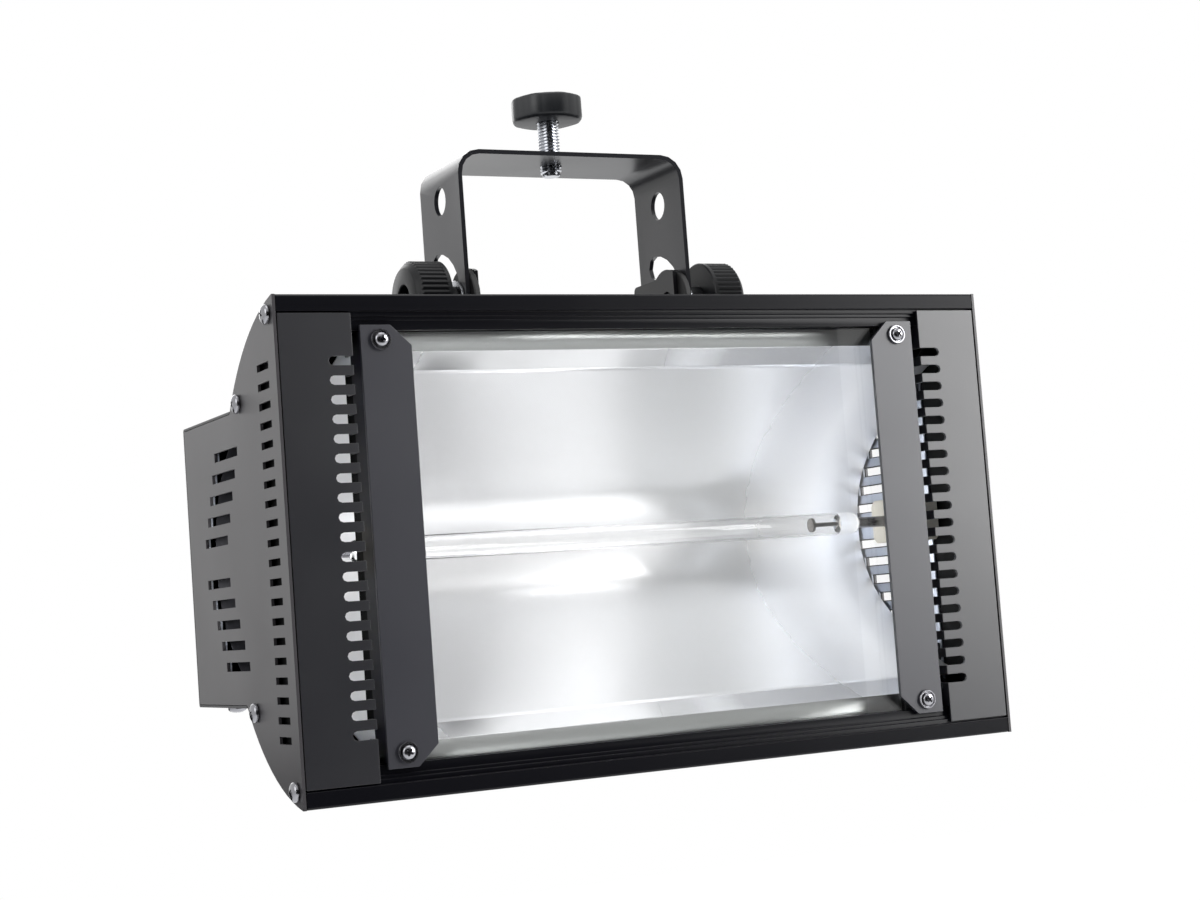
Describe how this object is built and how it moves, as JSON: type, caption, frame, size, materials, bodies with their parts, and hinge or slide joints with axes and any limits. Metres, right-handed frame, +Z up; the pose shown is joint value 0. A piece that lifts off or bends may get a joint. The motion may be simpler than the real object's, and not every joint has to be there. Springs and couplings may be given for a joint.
{
  "type": "strobe light",
  "caption": "Wide strobe light: vented housing with a trough reflector behind glass, tilting in a strap yoke with knurled clamp knobs and a hanging bolt.",
  "frame": {"origin": "where the axis of the hanging bolt meets the top face of the yoke strap", "axes": "+X across the light to the viewer's right, +Y rearward from the glass, +Z up along the hanging bolt"},
  "size_m": [0.409, 0.1801, 0.3665],
  "materials": {
    "graphite_paint": "satin powder coat",
    "dark_paint": "satin powder coat",
    "black_paint": "satin powder coat",
    "polished_sheet": "polished",
    "ceramic": "matt ceramic",
    "rubber": "matt",
    "zinc_steel": "bright zinc",
    "nickel_steel": "nickel plated",
    "clear_glass": "clear",
    "black_plastic": "satin",
    "board": "solder resist"
  },
  "bodies": {
    "yoke": {"yoke_strap": "dark_paint"},
    "housing": {"side_plate_left": "graphite_paint", "comb_grille_left": "dark_paint", "clamp_plate_left": "dark_paint", "glass_bar_left": "black_paint", "end_reflector_left": "polished_sheet", "lamp_holder_left": "ceramic", "friction_disc_left": "rubber", "pivot_standoff_left": "zinc_steel", "pivot_screw_left": "zinc_steel", "clamp_stud_left": "zinc_steel", "cover_screw_left": "nickel_steel", "bracket_screw_left": "nickel_steel", "clamp_screw_left_upper": "nickel_steel", "side_screw_left_front_upper": "nickel_steel", "side_screw_left_rear_upper": "nickel_steel", "clamp_screw_left_lower": "nickel_steel", "side_screw_left_front_lower": "nickel_steel", "side_screw_left_rear_lower": "nickel_steel", "side_plate_right": "graphite_paint", "comb_grille_right": "dark_paint", "clamp_plate_right": "dark_paint", "glass_bar_right": "black_paint", "end_reflector_right": "polished_sheet", "lamp_holder_right": "ceramic", "friction_disc_right": "rubber", "pivot_standoff_right": "zinc_steel", "pivot_screw_right": "zinc_steel", "clamp_stud_right": "zinc_steel", "cover_screw_right": "nickel_steel", "bracket_screw_right": "nickel_steel", "clamp_screw_right_upper": "nickel_steel", "side_screw_right_front_upper": "nickel_steel", "side_screw_right_rear_upper": "nickel_steel", "clamp_screw_right_lower": "nickel_steel", "side_screw_right_front_lower": "nickel_steel", "side_screw_right_rear_lower": "nickel_steel", "top_rail": "black_paint", "top_arc_cover": "black_paint", "bottom_rail": "black_paint", "bottom_arc_cover": "black_paint", "front_glass": "clear_glass", "glass_gasket": "rubber", "reflector": "polished_sheet", "flash_tube": "clear_glass", "box_cover": "black_paint", "pivot_bracket": "dark_paint", "circuit_board": "board", "power_inlet": "black_plastic", "remote_socket": "black_plastic"},
    "hanging_bolt_body": {"hanging_bolt": "zinc_steel"},
    "hanging_knob_body": {"hanging_knob": "black_plastic"},
    "clamp_washer_left_body": {"clamp_washer_left": "zinc_steel"},
    "clamp_knob_left_body": {"clamp_knob_left": "black_plastic"},
    "clamp_washer_right_body": {"clamp_washer_right": "zinc_steel"},
    "clamp_knob_right_body": {"clamp_knob_right": "black_plastic"},
    "rate_knob_body": {"rate_knob": "black_plastic"},
    "intensity_knob_body": {"intensity_knob": "black_plastic"},
    "fuse_drawer_body": {"fuse_drawer": "black_plastic"}
  },
  "joints": [
    {"name": "housing_tilt", "type": "hinge", "parent": "yoke", "child": "housing", "pos_m": [0, 0.0099, -0.082], "axis": [1, 0, 0], "range_deg": [-70, 90]},
    {"name": "hanging_bolt_travel", "type": "slide", "parent": "yoke", "child": "hanging_bolt_body", "axis": [0, 0, -1], "range_m": [0, 0.0176]},
    {"name": "hanging_knob_turn", "type": "hinge", "parent": "hanging_bolt_body", "child": "hanging_knob_body", "pos_m": [0, 0, 0.025], "axis": [0, 0, -1], "range_deg": [0, 3600]},
    {"name": "clamp_travel_left", "type": "slide", "parent": "housing", "child": "clamp_washer_left_body", "axis": [-1, 0, 0], "range_m": [0, 0.0046]},
    {"name": "clamp_knob_turn_left", "type": "hinge", "parent": "clamp_washer_left_body", "child": "clamp_knob_left_body", "pos_m": [-0.088, -0.0146, -0.08], "axis": [-1, 0, 0], "range_deg": [0, 1080]},
    {"name": "clamp_travel_right", "type": "slide", "parent": "housing", "child": "clamp_washer_right_body", "axis": [1, 0, 0], "range_m": [0, 0.0046]},
    {"name": "clamp_knob_turn_right", "type": "hinge", "parent": "clamp_washer_right_body", "child": "clamp_knob_right_body", "pos_m": [0.088, -0.0146, -0.08], "axis": [1, 0, 0], "range_deg": [0, 1080]},
    {"name": "rate_knob_turn", "type": "hinge", "parent": "housing", "child": "rate_knob_body", "pos_m": [-0.06, 0.06441, -0.211], "axis": [0, -1, 0], "range_deg": [0, 300]},
    {"name": "intensity_knob_turn", "type": "hinge", "parent": "housing", "child": "intensity_knob_body", "pos_m": [-0.1, 0.06441, -0.211], "axis": [0, -1, 0], "range_deg": [0, 300]},
    {"name": "fuse_drawer_slide", "type": "slide", "parent": "housing", "child": "fuse_drawer_body", "axis": [0, 1, 0], "range_m": [0, 0.012]}
  ],
  "couplings": [
    {"joint": "hanging_bolt_travel", "follows": "hanging_knob_turn", "m_per_rad": 0.00027852},
    {"joint": "clamp_travel_left", "follows": "clamp_knob_turn_left", "m_per_rad": 0.00023873},
    {"joint": "clamp_travel_right", "follows": "clamp_knob_turn_right", "m_per_rad": 0.00023873}
  ]
}
